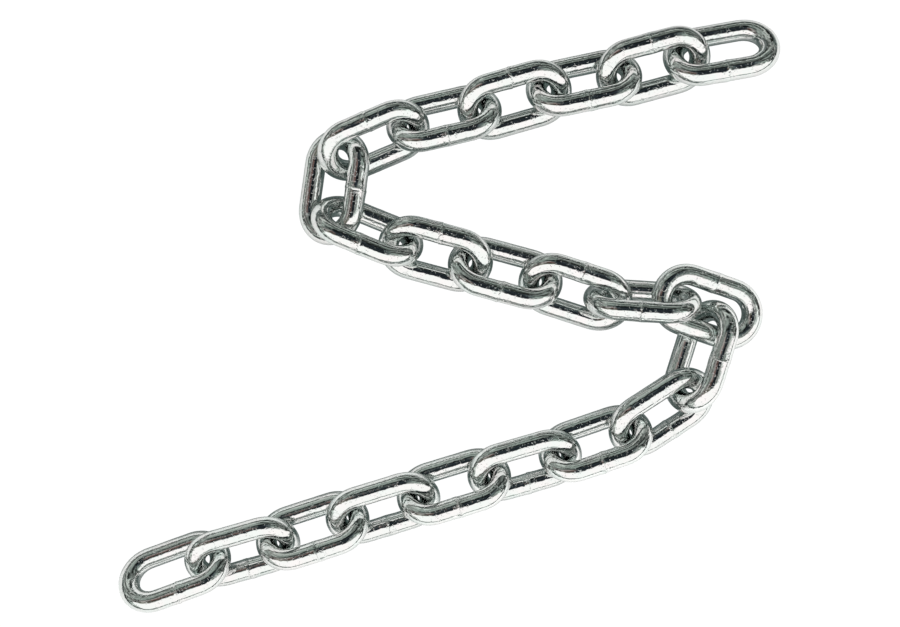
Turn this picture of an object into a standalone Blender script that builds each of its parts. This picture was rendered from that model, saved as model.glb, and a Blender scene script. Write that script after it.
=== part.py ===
"""A length of welded, zinc-plated steel chain of 22 links, lying on a level floor in a Z of three legs.

Metres, +Z up. The floor is at Z = 0, +X runs along the long side of the Z and +Y across it. Every link is one
closed curve object, link_01 to link_22 from the top right end to the bottom left end. A link hangs on an empty
that stands on the upright axis about which it swings sideways in its neighbour, and these empties form a tree
that starts at the middle link.
"""

import math

import bpy
from mathutils import Euler, Matrix, Vector

# One link: a round wire bent into two straight bars and two half-round crowns
WIRE = 0.010
INNER_LENGTH = 0.036
INNER_WIDTH = 0.014
BEND_RADIUS = (INNER_WIDTH + WIRE) / 2
HALF_BAR = (INNER_LENGTH - INNER_WIDTH) / 2
CROWN_AT = HALF_BAR + BEND_RADIUS

# The round wire is drawn with flats, whose middles and corners lie equally far from the true surface
SECTION_SIDES = 10
CROWN_STEPS = 8
HALF_SIDE_ANGLE = math.pi / SECTION_SIDES
CORNER_RADIUS = WIRE / (1 + math.cos(HALF_SIDE_ANGLE))
FLAT_RADIUS = CORNER_RADIUS * math.cos(HALF_SIDE_ANGLE)

# How the chain lies, link by link from its first end: the heading, in degrees anticlockwise from +X; the lean,
# in degrees, positive where the bar on the left of the heading is up; the step from the middle of the link
# before, in millimetres; and the turn of that step from the mean of the two headings, in degrees
LAID = (
    (190, 33, 0, 0),
    (195, -35, 33.2, -1),
    (192, 36, 34.0, 0),
    (196, -36, 34.0, 0),
    (193, 38, 34.8, 0),
    (203, -46, 35.1, 0),
    (262, 26, 28.8, -4),
    (338, -51, 26.7, 7),
    (345, 36, 34.1, 0),
    (345, -36, 34.5, 0),
    (342, 37, 34.7, 1),
    (356, -64, 31.5, 3),
    (342, -1, 31.1, 6),
    (252, 52, 23.7, -34),
    (213, -35, 32.3, 3),
    (199, 41, 34.8, -1),
    (196, -39, 35.3, 0),
    (197, 39, 35.2, 0),
    (197, -39, 35.2, 0),
    (198, 38, 35.2, 0),
    (196, -39, 34.9, 0),
    (200, 38, 33.6, -2),
)

# Links at the right bend that don't lie level: how high the lowest point is held, in millimetres, and how far
# the leading crown is tipped up, in degrees. Link 13 lies across the low bars of its two neighbours
PROPPED = {12: (0.0, 6.5), 13: (6.0, -10.0), 14: (0.0, 3.0)}

ROOT_LINK = 11
ZINC_COLOUR = (0.80, 0.81, 0.80, 1.0)


def clear_scene():
    for thing in list(bpy.data.objects):
        bpy.data.objects.remove(thing)


def zinc_plating():
    material = bpy.data.materials.new("bright_zinc")
    material.use_nodes = True
    surface = material.node_tree.nodes["Principled BSDF"]
    surface.inputs["Base Color"].default_value = ZINC_COLOUR
    surface.inputs["Metallic"].default_value = 1.0
    surface.inputs["Roughness"].default_value = 0.12
    return material


def link_outline():
    """The wire's centreline, anticlockwise: a half circle round each crown's centre, joined by the straight bars."""
    points = []
    for side, start in ((1, -math.pi / 2), (-1, math.pi / 2)):
        for step in range(CROWN_STEPS + 1):
            angle = start + math.pi * step / CROWN_STEPS
            points.append((side * HALF_BAR + BEND_RADIUS * math.cos(angle), BEND_RADIUS * math.sin(angle), 0.0))
    return points


def link_curve(name, lean, material):
    """One link as a bevelled closed curve. Its section is turned by the lean, so that a flat lies on the floor."""
    curve = bpy.data.curves.new(name, "CURVE")
    curve.dimensions = "3D"
    curve.bevel_mode = "ROUND"
    curve.bevel_depth = CORNER_RADIUS
    curve.bevel_resolution = (SECTION_SIDES - 4) // 2
    outline = link_outline()
    spline = curve.splines.new("POLY")
    spline.points.add(len(outline) - 1)
    for point, place in zip(spline.points, outline):
        point.co = (*place, 1.0)
        point.tilt = -abs(lean)
    spline.use_cyclic_u = True
    spline.use_smooth = True
    curve.materials.append(material)
    return curve


def lie_of(number, heading, lean):
    """A link's turn, and the height of its middle with its lowest point at the height that it is held at."""
    held, tip = PROPPED.get(number, (0.0, 0.0))
    turn = Euler((lean, -math.radians(tip), heading)).to_matrix()
    along = turn.col[0].z
    across = turn.col[1].z
    drop = HALF_BAR * abs(along) + BEND_RADIUS * math.hypot(along, across)
    level = tip == 0.0
    wire_below = FLAT_RADIUS if level else CORNER_RADIUS
    return turn, held / 1000 + drop + wire_below


def lay_chain():
    """Each link's matrix: its middle is one step on from the link before, along the mean of their headings."""
    middle = Vector((0.0, 0.0))
    before = None
    laid = []
    for number, (heading, lean, step, turn) in enumerate(LAID, start=1):
        heading, lean, turn = math.radians(heading), math.radians(lean), math.radians(turn)
        if before is not None:
            bend = math.remainder(heading - before, math.tau)
            bearing = before + bend / 2 + turn
            middle = middle + Vector((math.cos(bearing), math.sin(bearing))) * step / 1000
        before = heading
        rotation, height = lie_of(number, heading, lean)
        laid.append(Matrix.Translation((middle.x, middle.y, height)) @ rotation.to_4x4())
    return laid


def centre_on_floor(laid):
    """Moves the chain so that the middle of the ground that it covers is at the origin."""
    points = [lie @ Vector(place) for lie in laid for place in link_outline()]
    low = Vector((min(p.x for p in points), min(p.y for p in points), 0.0))
    high = Vector((max(p.x for p in points), max(p.y for p in points), 0.0))
    shift = Matrix.Translation(-(low + high) / 2)
    return [shift @ lie for lie in laid]


def swing_axis(first, second):
    """Where two linked crowns meet, seen from above: midway between the middles of the two crowns."""
    meet = (first @ Vector((CROWN_AT, 0.0, 0.0)) + second @ Vector((-CROWN_AT, 0.0, 0.0))) / 2
    return Vector((meet.x, meet.y, 0.0))


def link_name(number):
    return f"link_{number:02d}"


def hang_link(number, carrier, axis, lie, links, material):
    """Puts a link on an empty that stands on its swing axis, and the empty on the link that carries it."""
    collection = bpy.context.scene.collection
    lean = math.radians(LAID[number - 1][1])
    link = bpy.data.objects.new(link_name(number), link_curve(link_name(number), lean, material))
    collection.objects.link(link)
    link.matrix_world = lie
    if carrier is None:
        return link
    swing = bpy.data.objects.new(f"swing_{number:02d}", None)
    swing.empty_display_size = WIRE
    collection.objects.link(swing)
    stand = Matrix.Translation(axis)
    swing.parent = links[carrier]
    swing.matrix_parent_inverse = links[carrier].matrix_world.inverted()
    swing.matrix_basis = stand
    link.parent = swing
    link.matrix_parent_inverse = stand.inverted()
    link.matrix_basis = lie
    return link


def build_chain():
    clear_scene()
    material = zinc_plating()
    laid = centre_on_floor(lay_chain())
    links = {}
    outwards = [(ROOT_LINK, None)]
    outwards += [(number, number - 1) for number in range(ROOT_LINK + 1, len(LAID) + 1)]
    outwards += [(number, number + 1) for number in range(ROOT_LINK - 1, 0, -1)]
    for number, carrier in outwards:
        axis = None
        if carrier is not None:
            first = min(number, carrier)
            axis = swing_axis(laid[first - 1], laid[first])
        links[number] = hang_link(number, carrier, axis, laid[number - 1], links, material)
        bpy.context.view_layer.update()


build_chain()
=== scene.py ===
"""Looks for a laid length of bright zinc-plated, electrically welded steel chain of 22 links.

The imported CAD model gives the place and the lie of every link. Here each link gets its true round wire
with smooth bends, the weld in the middle of one bar, the marks of drawing and bending, and its plating;
then come the white ground, the soft light and the camera.
"""

import math

import bpy
import numpy as np
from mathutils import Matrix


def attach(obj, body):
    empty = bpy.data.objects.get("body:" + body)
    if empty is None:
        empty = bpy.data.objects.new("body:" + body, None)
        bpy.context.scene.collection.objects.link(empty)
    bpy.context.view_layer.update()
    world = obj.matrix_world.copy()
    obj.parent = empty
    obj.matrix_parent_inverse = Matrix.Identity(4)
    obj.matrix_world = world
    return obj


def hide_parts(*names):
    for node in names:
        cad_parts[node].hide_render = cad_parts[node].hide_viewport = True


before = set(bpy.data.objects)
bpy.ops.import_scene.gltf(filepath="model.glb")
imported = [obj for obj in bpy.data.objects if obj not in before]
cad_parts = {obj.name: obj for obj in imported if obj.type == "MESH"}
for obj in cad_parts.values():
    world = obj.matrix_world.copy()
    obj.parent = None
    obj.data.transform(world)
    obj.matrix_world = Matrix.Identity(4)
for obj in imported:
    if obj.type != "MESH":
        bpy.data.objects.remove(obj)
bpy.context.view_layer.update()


# Links
# Each link is one length of drawn round steel wire, bent to a long ring with two straight bars and two
# crowns, butt-welded by electric resistance in the middle of one bar, and hung in its neighbours as it is
# made. The whole chain is then plated with bright zinc.
LINK_COUNT = 22
WIRE_RADIUS = 0.0050
BEND_RADIUS = 0.0120
HALF_BAR = 0.0110
BEND_EASE = 0.0011
EASE_REACH = 4
RINGS = 288
RING_POINTS = 44

# The weld is in the bar on the left as the chain runs from its first end, but for these links. Its two
# ends meet a little out of line, in a low swelling, and each link's misfit is turned from the last one's
WELD_ON_RIGHT = {2, 4, 6, 8, 10, 12}
UPSET_RISE = 0.00016
UPSET_HALF_WIDTH = 0.0026
MISFIT = 0.00014
MISFIT_REACH = 0.0035
MISFIT_TURN = 2.1

# The drawn wire is slightly uneven, less so in the crowns, where the links touch
WAVE_HEIGHT = 0.000045
WAVE_IN_CROWN = 0.25
CROWN_BLEND = 0.004
CROWN_BLEND_POWER = 6
WAVE_COUNT = 8
WAVES_ALONG = (5, 19)
WAVES_ROUND = (0, 4)
WAVE_SEED = 40

# Each link's marks are taken this much further on along the wire, so that no two are alike
WIRE_BETWEEN_LINKS = 0.2


def corners_of(node_name):
    """The separate corner points of a CAD node, each once."""
    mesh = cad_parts[node_name].data
    places = np.empty(len(mesh.vertices) * 3)
    mesh.vertices.foreach_get("co", places)
    return np.unique(np.round(places.reshape(-1, 3), 6), axis=0)


def lie_of_link(number):
    """Middle, direction along, direction across and direction square to a link, from its CAD solid.

    The three directions are those in which the solid's corners spread most, less and least. Along points
    to the next link, and square points up.
    """
    corners = corners_of(f"link_{number:02d}")
    middle = corners.mean(axis=0)
    spread = corners - middle
    _, directions = np.linalg.eigh(spread.T @ spread)
    along = directions[:, 2]
    square = directions[:, 0]
    if number < LINK_COUNT:
        onward = corners_of(f"link_{number + 1:02d}").mean(axis=0) - middle
    else:
        onward = middle - corners_of(f"link_{number - 1:02d}").mean(axis=0)
    along = along * np.sign(along @ onward)
    square = square * np.sign(square[2])
    return middle, along, np.cross(square, along), square


def eased_ring(count):
    """Centreline of the wire in the link's own plane, and how far along the wire each point lies.

    Two straight bars are joined by half circles; the run starts in the middle of the bar on the positive
    side. The sharp change from straight to bend is then eased by a weighted mean over about one millimetre.
    """
    bar = 2 * HALF_BAR
    crown = math.pi * BEND_RADIUS
    length = 2 * (bar + crown)
    run = np.arange(count) * length / count
    place = np.mod(run + HALF_BAR, length)
    half = np.mod(place, bar + crown)
    side = np.where(place < bar + crown, 1.0, -1.0)
    on_bar = half < bar
    turn = (half - bar) / BEND_RADIUS
    x = np.where(on_bar, HALF_BAR - half, -HALF_BAR - BEND_RADIUS * np.sin(turn))
    y = np.where(on_bar, BEND_RADIUS, BEND_RADIUS * np.cos(turn))
    points = np.stack([x * side, y * side], axis=1)
    spacing = length / count
    reach = int(EASE_REACH * BEND_EASE / spacing) + 1
    offsets = np.arange(-reach, reach + 1)
    weights = np.exp(-0.5 * (offsets * spacing / BEND_EASE) ** 2)
    weights = weights / weights.sum()
    eased = sum(weight * np.roll(points, -offset, axis=0) for weight, offset in zip(weights, offsets))
    return eased, run, length


def waves(run, length, turn, seed):
    """Slow unevenness of the drawn wire, from -1 to 1: the mean of some waves along and round it."""
    chance = np.random.default_rng(seed)
    total = np.zeros(np.broadcast(run, turn).shape)
    for _ in range(WAVE_COUNT):
        along = chance.integers(*WAVES_ALONG)
        round_it = chance.integers(*WAVES_ROUND)
        phase = chance.uniform(0, 2 * math.pi)
        total = total + np.cos(2 * math.pi * along * run / length + round_it * turn + phase)
    return total / WAVE_COUNT


def link_points(number):
    """Points of a link's surface on a grid, their place on the wire, and how far past the weld they lie.

    A circle is carried round the centreline, square to it. Its radius is the wire's, plus a low swelling at
    the weld and slow waves that are less in the crowns. Near the weld the circle steps to one side before it
    and to the other after it, and the step fades with the distance from it. It falls between two rings.
    """
    middle, along, across, square = lie_of_link(number)
    ring, run, length = eased_ring(RINGS)
    if number in WELD_ON_RIGHT:
        ring = -ring
    tangent = np.roll(ring, -1, axis=0) - np.roll(ring, 1, axis=0)
    tangent = tangent / np.linalg.norm(tangent, axis=1, keepdims=True)
    outward = np.stack([tangent[:, 1], -tangent[:, 0]], axis=1)
    outward = outward * np.sign((outward * ring).sum(axis=1, keepdims=True))
    centre = middle + ring[:, :1] * along + ring[:, 1:] * across
    out = outward[:, :1] * along + outward[:, 1:] * across
    turn = np.arange(RING_POINTS) * 2 * math.pi / RING_POINTS
    half_spacing = length / RINGS / 2
    past_weld = np.where(run < length / 2, run, run - length)[:, None] + half_spacing
    misfit = MISFIT * np.sign(past_weld) * np.exp(-np.abs(past_weld) / MISFIT_REACH)
    misfit_angle = MISFIT_TURN * number
    centre = centre + misfit * (math.cos(misfit_angle) * out + math.sin(misfit_angle) * square)
    grid_turn = turn[None, :]
    upset = UPSET_RISE * np.exp(-((past_weld / UPSET_HALF_WIDTH) ** 2))
    on_bar = np.exp(-((np.abs(ring[:, :1]) / (HALF_BAR + CROWN_BLEND)) ** CROWN_BLEND_POWER))
    wave_share = WAVE_IN_CROWN + (1 - WAVE_IN_CROWN) * on_bar
    wave = WAVE_HEIGHT * wave_share * waves(run[:, None], length, grid_turn, WAVE_SEED + number)
    radius = (WIRE_RADIUS + upset + wave)[..., None]
    circle = np.cos(turn)[None, :, None] * out[:, None, :] + np.sin(turn)[None, :, None] * square
    points = centre[:, None, :] + radius * circle
    place = np.empty(points.shape)
    place[..., 0] = run[:, None] + WIRE_BETWEEN_LINKS * number
    place[..., 1] = WIRE_RADIUS * np.cos(grid_turn)
    place[..., 2] = WIRE_RADIUS * np.sin(grid_turn)
    return points, place, np.broadcast_to(past_weld, points.shape[:2])


def closed_grid(name, points, place, past_weld):
    """A mesh from a grid of points that closes on itself both ways.

    Each face joins four neighbours of the grid, and the faces are turned to point outwards. Each point
    keeps its place on the wire and how far past the weld it lies.
    """
    rows, columns = points.shape[:2]
    index = np.arange(rows * columns).reshape(rows, columns)
    right = np.roll(index, -1, axis=1)
    corners = [index, right, np.roll(right, -1, axis=0), np.roll(index, -1, axis=0)]
    faces = np.stack(corners, axis=-1).reshape(-1, 4)
    first, second, third = points.reshape(-1, 3)[faces[0, :3]]
    face_normal = np.cross(second - first, third - second)
    if face_normal @ (first - points[0].mean(axis=0)) < 0:
        faces = faces[:, ::-1]
    mesh = bpy.data.meshes.new(name)
    mesh.vertices.add(rows * columns)
    mesh.vertices.foreach_set("co", points.reshape(-1))
    mesh.loops.add(faces.size)
    mesh.loops.foreach_set("vertex_index", faces.reshape(-1).astype(np.int32))
    mesh.polygons.add(len(faces))
    mesh.polygons.foreach_set("loop_start", np.arange(0, faces.size, 4, dtype=np.int32))
    mesh.update(calc_edges=True)
    mesh.shade_smooth()
    stored = mesh.attributes.new("wire_place", "FLOAT_VECTOR", "POINT")
    stored.data.foreach_set("vector", place.reshape(-1))
    stored = mesh.attributes.new("past_weld", "FLOAT", "POINT")
    stored.data.foreach_set("value", np.ascontiguousarray(past_weld).reshape(-1))
    return mesh


def maths(tree, operation, *values):
    """The result of a Math node; each of its inputs is a socket or a plain number."""
    node = tree.nodes.new("ShaderNodeMath")
    node.operation = operation
    for socket, value in zip(node.inputs, values):
        if isinstance(value, float):
            socket.default_value = value
        else:
            tree.links.new(value, socket)
    return node.outputs["Value"]


def mapped(tree, value, given, wanted, smooth=False):
    """A value carried from one range to another, in a straight line or a smooth step, held at its ends."""
    node = tree.nodes.new("ShaderNodeMapRange")
    if smooth:
        node.interpolation_type = "SMOOTHSTEP"
    node.inputs["From Min"].default_value = given[0]
    node.inputs["From Max"].default_value = given[1]
    node.inputs["To Min"].default_value = wanted[0]
    node.inputs["To Max"].default_value = wanted[1]
    tree.links.new(value, node.inputs["Value"])
    return node.outputs["Result"]


def colours_between(tree, value, stops):
    """The colour at a value, in straight lines between stops of place and colour."""
    node = tree.nodes.new("ShaderNodeValToRGB")
    elements = node.color_ramp.elements
    for index, (place, colour) in enumerate(stops):
        if index < 2:
            elements[index].position = place
            elements[index].color = (*colour, 1.0)
        else:
            elements.new(place).color = (*colour, 1.0)
    tree.links.new(value, node.inputs["Fac"])
    return node.outputs["Color"]


def noise(tree, vector, scale, detail=1.0):
    """Soft noise over a vector, with so many cells a metre and so many finer layers."""
    node = tree.nodes.new("ShaderNodeTexNoise")
    node.inputs["Scale"].default_value = scale
    node.inputs["Detail"].default_value = detail
    tree.links.new(vector, node.inputs["Vector"])
    return node.outputs["Fac"]


def stretched_noise(tree, vector, scales, detail=1.0):
    """Soft noise with its own number of cells a metre in each direction of the vector."""
    node = tree.nodes.new("ShaderNodeMapping")
    node.inputs["Scale"].default_value = scales
    tree.links.new(vector, node.inputs["Vector"])
    return noise(tree, node.outputs["Vector"], 1.0, detail)


# Marks that are alike in every direction: the cells of noise in a metre
CLOUD_CELLS = 130.0
DENT_CELLS = 400.0
GRAIN_CELLS = 1500.0
GRAIN_PATCH_CELLS = 210.0
PIT_CELLS = 820.0
DIMPLE_CELLS = 560.0
RIDGE_GAP_CELLS = 500.0
SCUFF_PATCH_CELLS = 330.0

# Marks that follow the wire: the cells in a metre along it and in the two directions across it
COARSE_LINE_CELLS = (130.0, 700.0, 700.0)
FINE_LINE_CELLS = (60.0, 1900.0, 1900.0)
NICK_CELLS = (1300.0, 300.0, 300.0)
SCUFF_CELLS = (1500.0, 700.0, 700.0)

# The level of its noise at which a mark starts, and the level at which it is whole
GRAIN_PATCH_LEVELS = (0.40, 0.62)
PIT_LEVELS = (0.325, 0.275)
DIMPLE_LEVELS = (0.36, 0.29)
NICK_LEVELS = (0.69, 0.74)
RIDGE_LEVELS = (0.38, 0.56)
SCUFF_PATCH_LEVELS = (0.50, 0.60)

# How far from the weld a mark starts, and how far from it the mark is whole
RIDGE_FADE = (0.0010, 0.0001)
SCUFF_FADE = (0.0050, 0.0012)

# Each mark's share of the full height; those below nought go into the surface
RIDGE_SHARE = 0.85
SCUFF_SHARE = 0.75
COARSE_LINE_SHARE = 0.15
FINE_LINE_SHARE = 0.05
DENT_SHARE = 0.52
GRAIN_SHARE = 0.14
PIT_SHARE = -0.48
NICK_SHARE = -0.35
DIMPLE_SHARE = -0.25


def wire_marks_group():
    """Heights and masks of the marks on drawn, bent and plated wire.

    Draw lines are noise stretched along the wire, in a fine and a coarse set. Dents are soft noise about
    two millimetres across, and grain is finer noise that comes and goes in patches. Pits and dimples are the
    lowest parts of fine noise, and nicks are the highest parts of noise stretched round the wire. At the weld
    a narrow ridge runs round, broken in places, and the wire beside it is scuffed where the flash was trimmed
    off. The height is the sum of them all, each times its share. Clouds are a wide noise for the plating.
    """
    group = bpy.data.node_groups.new("drawn_wire_marks", "ShaderNodeTree")
    group.interface.new_socket("Place", in_out="INPUT", socket_type="NodeSocketVector")
    group.interface.new_socket("Surface Point", in_out="INPUT", socket_type="NodeSocketVector")
    group.interface.new_socket("Past Weld", in_out="INPUT", socket_type="NodeSocketFloat")
    group.interface.new_socket("Height", in_out="OUTPUT", socket_type="NodeSocketFloat")
    group.interface.new_socket("Clouds", in_out="OUTPUT", socket_type="NodeSocketFloat")
    given = group.nodes.new("NodeGroupInput")
    result = group.nodes.new("NodeGroupOutput")
    place = given.outputs["Place"]
    point = given.outputs["Surface Point"]

    def step(value, levels):
        """A smooth step from 0 at the first level to 1 at the second."""
        return mapped(group, value, levels, (0.0, 1.0), smooth=True)

    patches = step(noise(group, point, GRAIN_PATCH_CELLS), GRAIN_PATCH_LEVELS)
    grain = maths(group, "MULTIPLY", patches, noise(group, point, GRAIN_CELLS))
    pits = step(noise(group, point, PIT_CELLS), PIT_LEVELS)
    dimples = step(noise(group, point, DIMPLE_CELLS), DIMPLE_LEVELS)
    nicks = step(stretched_noise(group, place, NICK_CELLS), NICK_LEVELS)
    away = maths(group, "ABSOLUTE", given.outputs["Past Weld"])
    unbroken = step(noise(group, point, RIDGE_GAP_CELLS), RIDGE_LEVELS)
    ridge = maths(group, "MULTIPLY", step(away, RIDGE_FADE), unbroken)
    scuff_patches = step(noise(group, point, SCUFF_PATCH_CELLS), SCUFF_PATCH_LEVELS)
    scuffed = maths(group, "MULTIPLY", step(away, SCUFF_FADE), scuff_patches)
    scuffs = maths(group, "MULTIPLY", scuffed, stretched_noise(group, place, SCUFF_CELLS))
    shares = (
        (ridge, RIDGE_SHARE),
        (scuffs, SCUFF_SHARE),
        (stretched_noise(group, place, COARSE_LINE_CELLS), COARSE_LINE_SHARE),
        (stretched_noise(group, place, FINE_LINE_CELLS), FINE_LINE_SHARE),
        (noise(group, point, DENT_CELLS), DENT_SHARE),
        (grain, GRAIN_SHARE),
        (pits, PIT_SHARE),
        (nicks, NICK_SHARE),
        (dimples, DIMPLE_SHARE),
    )
    height = 0.0
    for mark, share in shares:
        height = maths(group, "MULTIPLY_ADD", mark, share, height)
    group.links.new(height, result.inputs["Height"])
    group.links.new(noise(group, point, CLOUD_CELLS, 2.0), result.inputs["Clouds"])
    return group


# The plating's cast at two levels of the clouds, its roughness, and the full height of the marks
ZINC_CASTS = ((0.32, (0.735, 0.785, 0.765)), (0.68, (0.790, 0.780, 0.775)))
ROUGHNESS_CLOUDS = (0.3, 0.7)
ROUGHNESS = (0.02, 0.06)
MARK_HEIGHT = 0.00016


def bright_zinc():
    """Bright zinc over steel: a mirror with a faint green or rose cast that changes slowly over the wire."""
    material = bpy.data.materials.new("bright_zinc")
    material.use_nodes = True
    tree = material.node_tree
    nodes, links = tree.nodes, tree.links
    surface = nodes["Principled BSDF"]
    surface.inputs["Metallic"].default_value = 1.0
    point = nodes.new("ShaderNodeTexCoord")
    place = nodes.new("ShaderNodeAttribute")
    place.attribute_name = "wire_place"
    weld = nodes.new("ShaderNodeAttribute")
    weld.attribute_name = "past_weld"
    marks = nodes.new("ShaderNodeGroup")
    marks.node_tree = wire_marks_group()
    links.new(place.outputs["Vector"], marks.inputs["Place"])
    links.new(point.outputs["Object"], marks.inputs["Surface Point"])
    links.new(weld.outputs["Fac"], marks.inputs["Past Weld"])
    clouds = marks.outputs["Clouds"]
    links.new(colours_between(tree, clouds, ZINC_CASTS), surface.inputs["Base Color"])
    links.new(mapped(tree, clouds, ROUGHNESS_CLOUDS, ROUGHNESS), surface.inputs["Roughness"])
    bump = nodes.new("ShaderNodeBump")
    bump.inputs["Strength"].default_value = 1.0
    bump.inputs["Distance"].default_value = MARK_HEIGHT
    links.new(marks.outputs["Height"], bump.inputs["Height"])
    links.new(bump.outputs["Normal"], surface.inputs["Normal"])
    return material


zinc = bright_zinc()
for number in range(1, LINK_COUNT + 1):
    link_name = f"link_{number:02d}"
    surface_points, wire_place, run_past_weld = link_points(number)
    link_mesh = closed_grid(f"plated_{link_name}", surface_points, wire_place, run_past_weld)
    link_mesh.materials.append(zinc)
    link = bpy.data.objects.new(f"plated_{link_name}", link_mesh)
    bpy.context.scene.collection.objects.link(link)
    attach(link, link_name)
    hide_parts(link_name)


# Ground
# A plain white sheet that the chain lies on. It ends a little beyond the chain, and what it lies on is
# darker. The camera sees it white, with only a breath of shadow, while the links mirror it as it is lit,
# with painted shade near and under them.
GROUND_HALF = 4.0
GROUND_HEIGHT = -0.00030
SHEET_END = 0.180
SHEET_EDGE = 0.020
PAST_SHEET_SHARE = 0.12

# The ground near and under the links is open to less light, and it has painted shade in these colours at
# two levels of that openness; the camera sees mostly a plain glow in their place
SHADE_REACH = 0.050
SHADE_SAMPLES = 4
PAINTED_SHADES = ((0.54, (0.05, 0.06, 0.06)), (0.91, (0.88, 0.86, 0.86)))
FAINT_LIGHT = (0.075, 0.100, 0.094, 1.0)
WHITE = (1.0, 1.0, 1.0, 1.0)
CAMERA_GLOW = 1.06
CAMERA_GLOW_SHARE = 0.95


def scaled(tree, colour, factor):
    """A colour times a value."""
    node = tree.nodes.new("ShaderNodeVectorMath")
    node.operation = "SCALE"
    tree.links.new(colour, node.inputs["Vector"])
    tree.links.new(factor, node.inputs["Scale"])
    return node.outputs["Vector"]


def white_ground():
    """Matt white with painted shade under the links, mixed for the camera with a plain white glow.

    The colour is that of the painted shade, times a share that falls from 1 to its least across the sheet's
    end. A faint light of its own is added, which stands for light that comes in low between the links.
    """
    material = bpy.data.materials.new("white_sheet")
    material.use_nodes = True
    tree = material.node_tree
    nodes, links = tree.nodes, tree.links
    nodes.remove(nodes["Principled BSDF"])
    openness = nodes.new("ShaderNodeAmbientOcclusion")
    openness.samples = SHADE_SAMPLES
    openness.inputs["Distance"].default_value = SHADE_REACH
    # painted shade: the ground's colour is darkened near and under the links by how closed in it is
    shade = colours_between(tree, openness.outputs["AO"], PAINTED_SHADES)
    spot = nodes.new("ShaderNodeTexCoord")
    parts = nodes.new("ShaderNodeSeparateXYZ")
    links.new(spot.outputs["Object"], parts.inputs["Vector"])
    sheet_edge = (SHEET_END - SHEET_EDGE, SHEET_END + SHEET_EDGE)
    sheet_share = mapped(tree, parts.outputs["Y"], sheet_edge, (1.0, PAST_SHEET_SHARE))
    matt = nodes.new("ShaderNodeBsdfDiffuse")
    links.new(scaled(tree, shade, sheet_share), matt.inputs["Color"])
    faint = nodes.new("ShaderNodeEmission")
    faint.inputs["Color"].default_value = FAINT_LIGHT
    lit = nodes.new("ShaderNodeAddShader")
    links.new(matt.outputs["BSDF"], lit.inputs[0])
    links.new(faint.outputs["Emission"], lit.inputs[1])
    glow = nodes.new("ShaderNodeEmission")
    glow.inputs["Color"].default_value = WHITE
    glow.inputs["Strength"].default_value = CAMERA_GLOW
    path = nodes.new("ShaderNodeLightPath")
    mix = nodes.new("ShaderNodeMixShader")
    glow_share = maths(tree, "MULTIPLY", path.outputs["Is Camera Ray"], CAMERA_GLOW_SHARE)
    links.new(glow_share, mix.inputs["Fac"])
    links.new(lit.outputs["Shader"], mix.inputs[1])
    links.new(glow.outputs["Emission"], mix.inputs[2])
    links.new(mix.outputs["Shader"], nodes["Material Output"].inputs["Surface"])
    return material


ground_mesh = bpy.data.meshes.new("ground")
ground_corners = np.array([[-1.0, -1.0], [1.0, -1.0], [1.0, 1.0], [-1.0, 1.0]]) * GROUND_HALF
ground_points = np.column_stack([ground_corners, np.full(4, GROUND_HEIGHT)])
ground_mesh.from_pydata(ground_points.tolist(), [], [(0, 1, 2, 3)])
ground_mesh.materials.append(white_ground())
ground = bpy.data.objects.new("ground", ground_mesh)
bpy.context.scene.collection.objects.link(ground)


# Light
# One wide light panel overhead on the near side, and a dim uneven room round it that is darkest straight
# above the chain, so that the polished wire mirrors a white band with a dark one along its sharp edge.
LEAST_HEIGHT = 0.01


def panel_group():
    """A soft-edged rectangle overhead, 1 inside and 0 outside.

    A direction is carried to where it meets a ceiling one metre up, and each edge of the rectangle is
    crossed in a smooth step as wide as the softness. Below the horizon there is nothing.
    """
    group = bpy.data.node_groups.new("overhead_panel", "ShaderNodeTree")
    group.interface.new_socket("Direction", in_out="INPUT", socket_type="NodeSocketVector")
    for name in ("X Low", "X High", "Y Low", "Y High", "Softness"):
        group.interface.new_socket(name, in_out="INPUT", socket_type="NodeSocketFloat")
    group.interface.new_socket("Mask", in_out="OUTPUT", socket_type="NodeSocketFloat")
    nodes, links = group.nodes, group.links
    given = nodes.new("NodeGroupInput")
    result = nodes.new("NodeGroupOutput")
    parts = nodes.new("ShaderNodeSeparateXYZ")
    links.new(given.outputs["Direction"], parts.inputs["Vector"])
    height = maths(group, "MAXIMUM", parts.outputs["Z"], LEAST_HEIGHT)
    mask = maths(group, "GREATER_THAN", parts.outputs["Z"], 0.0)
    for axis in ("X", "Y"):
        meets = maths(group, "DIVIDE", parts.outputs[axis], height)
        for end, inwards in (("Low", "ADD"), ("High", "SUBTRACT")):
            edge = given.outputs[f"{axis} {end}"]
            crossing = nodes.new("ShaderNodeMapRange")
            crossing.interpolation_type = "SMOOTHSTEP"
            links.new(meets, crossing.inputs["Value"])
            links.new(edge, crossing.inputs["From Min"])
            links.new(maths(group, inwards, edge, given.outputs["Softness"]), crossing.inputs["From Max"])
            mask = maths(group, "MULTIPLY", mask, crossing.outputs["Result"])
    links.new(mask, result.inputs["Mask"])
    return group


# Each patch of the room: its rectangle on a ceiling one metre up, how soft its edges are, and its colour.
# They are the far ceiling, the paler left side, the shade round the camera, red-brown things left of it,
# the warm grey left of the panel's edge, the bright strip on the right, and the camera's own dark
ROOM_PATCHES = (
    ((-1.2, 2.6), (0.05, 3.2), 0.70, (0.165, 0.190, 0.175)),
    ((-2.2, -0.12), (-0.35, 0.60), 0.30, (0.28, 0.26, 0.25)),
    ((-0.45, 0.60), (-0.25, 0.95), 0.22, (0.085, 0.105, 0.105)),
    ((-0.70, -0.06), (-0.10, 0.42), 0.22, (0.112, 0.068, 0.062)),
    ((-1.60, -0.20), (-0.40, 0.14), 0.12, (0.170, 0.165, 0.140)),
    ((0.14, 2.6), (-0.35, 0.16), 0.20, (0.66, 0.69, 0.66)),
    ((-0.22, 0.34), (-0.22, 0.70), 0.12, (0.024, 0.031, 0.037)),
)
LIGHT_PANEL = ((-2.1, 5.0), (-4.6, -0.13), 0.09, (1.25, 1.22, 1.21))

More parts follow.
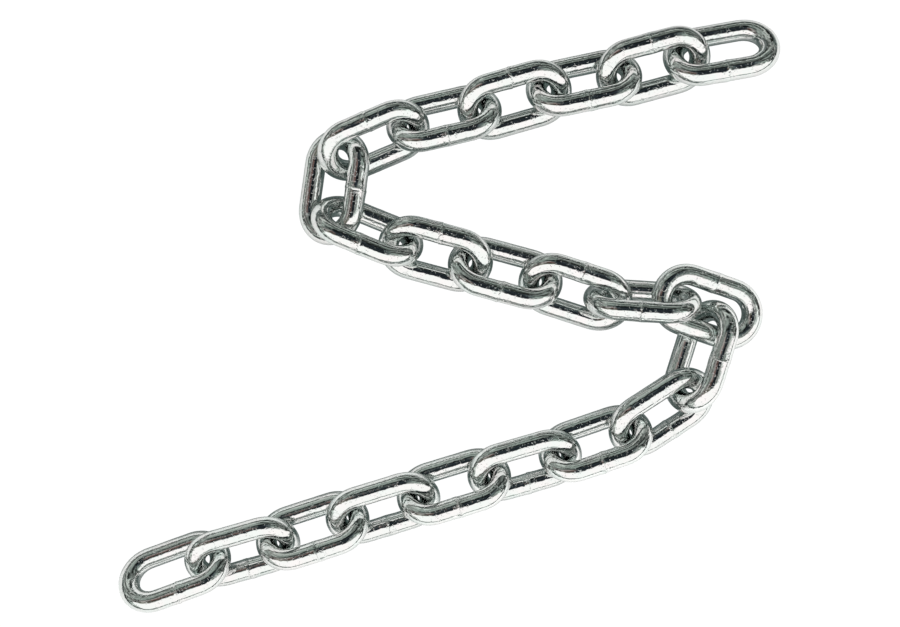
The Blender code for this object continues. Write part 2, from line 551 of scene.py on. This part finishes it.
# The walls by height, from the horizon up. The near wall is brighter, and things in the room make all of
# it uneven
WALLS = ((0.10, (0.065, 0.078, 0.073)), (0.28, (0.42, 0.45, 0.42)), (0.7, (0.185, 0.220, 0.200)))
NEAR_WALL = (-1.0, -0.5)
NEAR_WALL_SHARE = (1.8, 1.0)
THINGS_CELLS = (1.4, 4.2, 4.2)
THINGS_LEVELS = (0.38, 0.62)
THINGS_SHARE = (0.10, 2.0)
BACKDROP = (1.05, 1.05, 1.05, 1.0)


def room_light():
    """A pale room, dark at the horizon, with the patches laid over it in turn and the light panel last.

    All but the panel is made uneven by a soft noise, as the things in a room are. The camera itself sees
    plain white past the ground.
    """
    world = bpy.data.worlds.new("room")
    world.use_nodes = True
    tree = world.node_tree
    nodes, links = tree.nodes, tree.links
    coordinates = nodes.new("ShaderNodeTexCoord")
    direction = coordinates.outputs["Generated"]
    parts = nodes.new("ShaderNodeSeparateXYZ")
    links.new(direction, parts.inputs["Vector"])
    panel = panel_group()

    def lay_patch(under, patch):
        """Lays one patch of the room over the colour under it."""
        across_room, along_room, softness, patch_colour = patch
        mask = nodes.new("ShaderNodeGroup")
        mask.node_tree = panel
        links.new(direction, mask.inputs["Direction"])
        mask.inputs["X Low"].default_value = across_room[0]
        mask.inputs["X High"].default_value = across_room[1]
        mask.inputs["Y Low"].default_value = along_room[0]
        mask.inputs["Y High"].default_value = along_room[1]
        mask.inputs["Softness"].default_value = softness
        laid = nodes.new("ShaderNodeMix")
        laid.data_type = "RGBA"
        links.new(mask.outputs["Mask"], laid.inputs["Factor"])
        links.new(under, laid.inputs["A"])
        laid.inputs["B"].default_value = (*patch_colour, 1.0)
        return laid.outputs["Result"]

    walls = colours_between(tree, parts.outputs["Z"], WALLS)
    colour = scaled(tree, walls, mapped(tree, parts.outputs["Y"], NEAR_WALL, NEAR_WALL_SHARE))
    for room_patch in ROOM_PATCHES:
        colour = lay_patch(colour, room_patch)
    things = stretched_noise(tree, direction, THINGS_CELLS, 2.0)
    colour = scaled(tree, colour, mapped(tree, things, THINGS_LEVELS, THINGS_SHARE))
    colour = lay_patch(colour, LIGHT_PANEL)
    path = nodes.new("ShaderNodeLightPath")
    seen = nodes.new("ShaderNodeMix")
    seen.data_type = "RGBA"
    seen.inputs["B"].default_value = BACKDROP
    links.new(path.outputs["Is Camera Ray"], seen.inputs["Factor"])
    links.new(colour, seen.inputs["A"])
    links.new(seen.outputs["Result"], nodes["Background"].inputs["Color"])
    return world


bpy.context.scene.world = room_light()

# A lamp on the near side, which the links don't mirror, so that the shadows fall away from the viewer
LAMP_AT = (0.45, -0.65, 0.75)
LAMP_SIZE = 0.35
LAMP_POWER = 9.3

lamp_data = bpy.data.lights.new("ground_lamp", "AREA")
lamp_data.size = LAMP_SIZE
lamp_data.energy = LAMP_POWER
lamp = bpy.data.objects.new("ground_lamp", lamp_data)
lamp.location = LAMP_AT
lamp.rotation_euler = (math.atan2(-LAMP_AT[1], LAMP_AT[2]), 0.0, math.atan2(LAMP_AT[0], -LAMP_AT[1]))
lamp.visible_glossy = False
lamp.visible_camera = False
bpy.context.scene.collection.objects.link(lamp)


# Camera
# Straight above the chain, a little nearer the viewer's edge, about 0.7 m up.
CAMERA_AT = (0.00052, -0.02011, 0.720)
CAMERA_LENS = 59.44
CAMERA_SENSOR = 36.0
CAMERA_SHIFT_Y = 0.0469

camera_data = bpy.data.cameras.new("camera")
camera_data.lens = CAMERA_LENS
camera_data.sensor_width = CAMERA_SENSOR
camera_data.shift_y = CAMERA_SHIFT_Y
camera = bpy.data.objects.new("camera", camera_data)
camera.location = CAMERA_AT
bpy.context.scene.collection.objects.link(camera)
bpy.context.scene.camera = camera
bpy.context.scene.view_settings.view_transform = "Standard"
